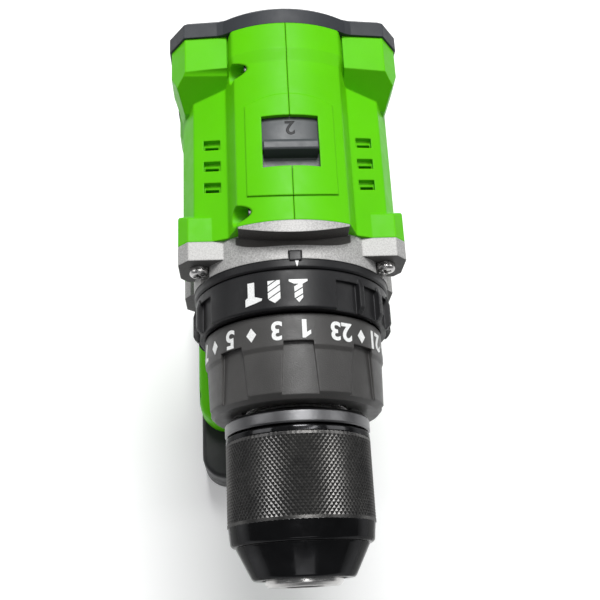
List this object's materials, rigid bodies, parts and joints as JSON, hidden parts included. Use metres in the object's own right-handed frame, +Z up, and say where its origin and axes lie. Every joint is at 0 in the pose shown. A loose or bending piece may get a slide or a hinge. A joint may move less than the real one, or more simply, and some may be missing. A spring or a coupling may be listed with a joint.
{
  "type": "cordless hammer drill",
  "caption": "Cordless hammer drill with a keyless chuck, torque and mode collars, a sliding speed knob, a trigger handle and a slide-on battery.",
  "frame": {"origin": "middle of the battery's base, on the surface that the drill stands on", "axes": "+Z up, the spindle along Y with the chuck towards -Y, +X to the right for someone looking from the chuck's end towards the rear cap"},
  "size_m": [0.074, 0.173, 0.2099],
  "materials": {
    "shell_green": "satin lime green moulding",
    "cap_grey": "fine texture",
    "overmould": "soft matte",
    "case_silver": "satin speckled",
    "collar_black": "satin",
    "chuck_black": "glossy black oxide",
    "steel": "machined",
    "dark_steel": "oiled",
    "black_screw": "black zinc",
    "copper": "enamelled winding wire",
    "black_plastic": "satin",
    "clear": "clear lens",
    "cell_wrap": "shrink wrap",
    "board": "lacquered circuit board",
    "wire": "insulated leads",
    "laminate": "stacked sheets"
  },
  "bodies": {
    "drill": {"bearings": "steel", "body_screws": "black_screw", "clutch_balls": "steel", "clutch_ring_gear": "dark_steel", "clutch_spring": "steel", "clutch_washer": "steel", "gear_case": "case_silver", "gear_case_screws": "steel", "grip_overmoulds": "overmould", "hammer_ratchet_fixed": "steel", "housing_left": "shell_green", "housing_right": "shell_green", "led_lens": "clear", "mode_flange": "collar_black", "motor_plate": "case_silver", "rear_cap": "cap_grey", "retaining_ring": "steel", "ring_gear_1": "dark_steel", "stator_core": "laminate", "stator_windings": "copper", "switch_module": "black_plastic", "terminal_block": "black_plastic", "wiring": "wire"},
    "chuck_and_spindle": {"spindle": "steel", "chuck_body": "steel", "chuck_back_ring": "dark_steel", "chuck_screw": "steel", "hammer_ratchet_spindle": "steel"},
    "sleeve": {"chuck_sleeve": "chuck_black", "chuck_nut": "steel"},
    "jaw_a": {"chuck_jaw_a": "steel"},
    "jaw_b": {"chuck_jaw_b": "steel"},
    "jaw_c": {"chuck_jaw_c": "steel"},
    "planet_3a": {"planet_gear_3a": "dark_steel"},
    "planet_3b": {"planet_gear_3b": "dark_steel"},
    "planet_3c": {"planet_gear_3c": "dark_steel"},
    "second_carrier": {"carrier_2": "dark_steel", "planet_gears_2": "dark_steel"},
    "first_carrier": {"carrier_1": "dark_steel"},
    "speed_ring": {"speed_ring_gear": "dark_steel"},
    "planet_1a": {"planet_gear_1a": "dark_steel"},
    "planet_1b": {"planet_gear_1b": "dark_steel"},
    "planet_1c": {"planet_gear_1c": "dark_steel"},
    "rotor": {"rotor_shaft": "steel", "rotor_core": "laminate", "cooling_fan": "black_plastic"},
    "torque_collar": {"torque_ring": "collar_black"},
    "spring_nut": {"clutch_nut": "black_plastic"},
    "mode_collar": {"mode_ring": "collar_black"},
    "speed_slider": {"speed_knob": "cap_grey"},
    "yoke": {"shift_yoke": "steel"},
    "trigger": {"trigger": "black_plastic"},
    "lever": {"direction_lever": "black_plastic"},
    "battery": {"battery_case_upper": "black_plastic", "battery_case_lower": "black_plastic", "battery_cells": "cell_wrap", "battery_board": "board", "battery_screws": "black_screw", "latch_spring": "steel"},
    "latch": {"battery_latch": "cap_grey"}
  },
  "joints": [
    {"name": "spindle_spin", "type": "hinge", "parent": "drill", "child": "chuck_and_spindle", "pos_m": [0, -0.0665, 0.172], "axis": [0, -1, 0], "continuous": true},
    {"name": "sleeve_turn", "type": "hinge", "parent": "chuck_and_spindle", "child": "sleeve", "pos_m": [0, -0.0665, 0.172], "axis": [0, -1, 0], "range_deg": [-1800, 500]},
    {"name": "jaw_a_slide", "type": "slide", "parent": "chuck_and_spindle", "child": "jaw_a", "axis": [0, -0.9613, -0.2756], "range_m": [-0.0161, 0.00452]},
    {"name": "jaw_b_slide", "type": "slide", "parent": "chuck_and_spindle", "child": "jaw_b", "axis": [0.2387, -0.9613, 0.1378], "range_m": [-0.0161, 0.00452]},
    {"name": "jaw_c_slide", "type": "slide", "parent": "chuck_and_spindle", "child": "jaw_c", "axis": [-0.2387, -0.9613, 0.1378], "range_m": [-0.0161, 0.00452]},
    {"name": "planet_3a_spin", "type": "hinge", "parent": "chuck_and_spindle", "child": "planet_3a", "pos_m": [0, 0.0145, 0.18415], "axis": [0, -1, 0], "continuous": true},
    {"name": "planet_3b_spin", "type": "hinge", "parent": "chuck_and_spindle", "child": "planet_3b", "pos_m": [-0.01052, 0.0145, 0.16592], "axis": [0, -1, 0], "continuous": true},
    {"name": "planet_3c_spin", "type": "hinge", "parent": "chuck_and_spindle", "child": "planet_3c", "pos_m": [0.01052, 0.0145, 0.16592], "axis": [0, -1, 0], "continuous": true},
    {"name": "second_carrier_spin", "type": "hinge", "parent": "drill", "child": "second_carrier", "pos_m": [0, 0.0205, 0.172], "axis": [0, -1, 0], "continuous": true},
    {"name": "first_carrier_spin", "type": "hinge", "parent": "drill", "child": "first_carrier", "pos_m": [0, 0.0305, 0.172], "axis": [0, -1, 0], "continuous": true},
    {"name": "planet_1a_spin", "type": "hinge", "parent": "first_carrier", "child": "planet_1a", "pos_m": [0, 0.036, 0.1825], "axis": [0, -1, 0], "continuous": true},
    {"name": "planet_1b_spin", "type": "hinge", "parent": "first_carrier", "child": "planet_1b", "pos_m": [-0.00909, 0.036, 0.16675], "axis": [0, -1, 0], "continuous": true},
    {"name": "planet_1c_spin", "type": "hinge", "parent": "first_carrier", "child": "planet_1c", "pos_m": [0.00909, 0.036, 0.16675], "axis": [0, -1, 0], "continuous": true},
    {"name": "rotor_spin", "type": "hinge", "parent": "drill", "child": "rotor", "pos_m": [0, 0.0595, 0.172], "axis": [0, -1, 0], "continuous": true},
    {"name": "speed_knob_slide", "type": "slide", "parent": "drill", "child": "speed_slider", "axis": [0, 1, 0], "range_m": [0, 0.007]},
    {"name": "shift_yoke_pivot", "type": "hinge", "parent": "drill", "child": "yoke", "pos_m": [0, 0.0263, 0.184], "axis": [-1, 0, 0], "range_deg": [0, 21.2]},
    {"name": "speed_ring_slide", "type": "slide", "parent": "first_carrier", "child": "speed_ring", "axis": [0, 1, 0], "range_m": [-0.00443, 0]},
    {"name": "torque_ring_turn", "type": "hinge", "parent": "drill", "child": "torque_collar", "pos_m": [0, -0.0265, 0.172], "axis": [0, 1, 0], "range_deg": [0, 336]},
    {"name": "clutch_nut_slide", "type": "slide", "parent": "drill", "child": "spring_nut", "axis": [0, 1, 0], "range_m": [0, 0.005], "deforming": ["clutch_spring"]},
    {"name": "mode_ring_turn", "type": "hinge", "parent": "drill", "child": "mode_collar", "pos_m": [0, -0.0065, 0.172], "axis": [0, 1, 0], "range_deg": [0, 26.6]},
    {"name": "trigger_slide", "type": "slide", "parent": "drill", "child": "trigger", "axis": [0, 1, 0], "range_m": [0, 0.0065], "stiffness_N_per_m": 800, "springref_m": -0.004},
    {"name": "direction_lever_slide", "type": "slide", "parent": "drill", "child": "lever", "axis": [1, 0, 0], "range_m": [-0.0035, 0.0035]},
    {"name": "battery_slide", "type": "slide", "parent": "drill", "child": "battery", "axis": [0, -1, 0], "range_m": [0, 0.082]},
    {"name": "battery_latch_slide", "type": "slide", "parent": "battery", "child": "latch", "axis": [0, 0, -1], "range_m": [0, 0.004], "stiffness_N_per_m": 900, "springref_m": -0.003, "deforming": ["latch_spring"]}
  ],
  "couplings": [
    {"joint": "jaw_a_slide", "follows": "sleeve_turn", "m_per_rad": 0.0005093},
    {"joint": "jaw_b_slide", "follows": "sleeve_turn", "m_per_rad": 0.0005093},
    {"joint": "jaw_c_slide", "follows": "sleeve_turn", "m_per_rad": 0.0005093},
    {"joint": "planet_3a_spin", "follows": "spindle_spin", "ratio": -3.25},
    {"joint": "planet_3b_spin", "follows": "spindle_spin", "ratio": -3.25},
    {"joint": "planet_3c_spin", "follows": "spindle_spin", "ratio": -3.25},
    {"joint": "second_carrier_spin", "follows": "spindle_spin", "ratio": 3.6},
    {"joint": "first_carrier_spin", "follows": "spindle_spin", "ratio": 3.6},
    {"joint": "planet_1a_spin", "follows": "spindle_spin", "ratio": -9.6},
    {"joint": "planet_1b_spin", "follows": "spindle_spin", "ratio": -9.6},
    {"joint": "planet_1c_spin", "follows": "spindle_spin", "ratio": -9.6},
    {"joint": "rotor_spin", "follows": "spindle_spin", "ratio": 18},
    {"joint": "shift_yoke_pivot", "follows": "speed_knob_slide", "rad_per_m": 52.632},
    {"joint": "speed_ring_slide", "follows": "speed_knob_slide", "ratio": -0.63158},
    {"joint": "clutch_nut_slide", "follows": "torque_ring_turn", "m_per_rad": 0.0008527}
  ]
}
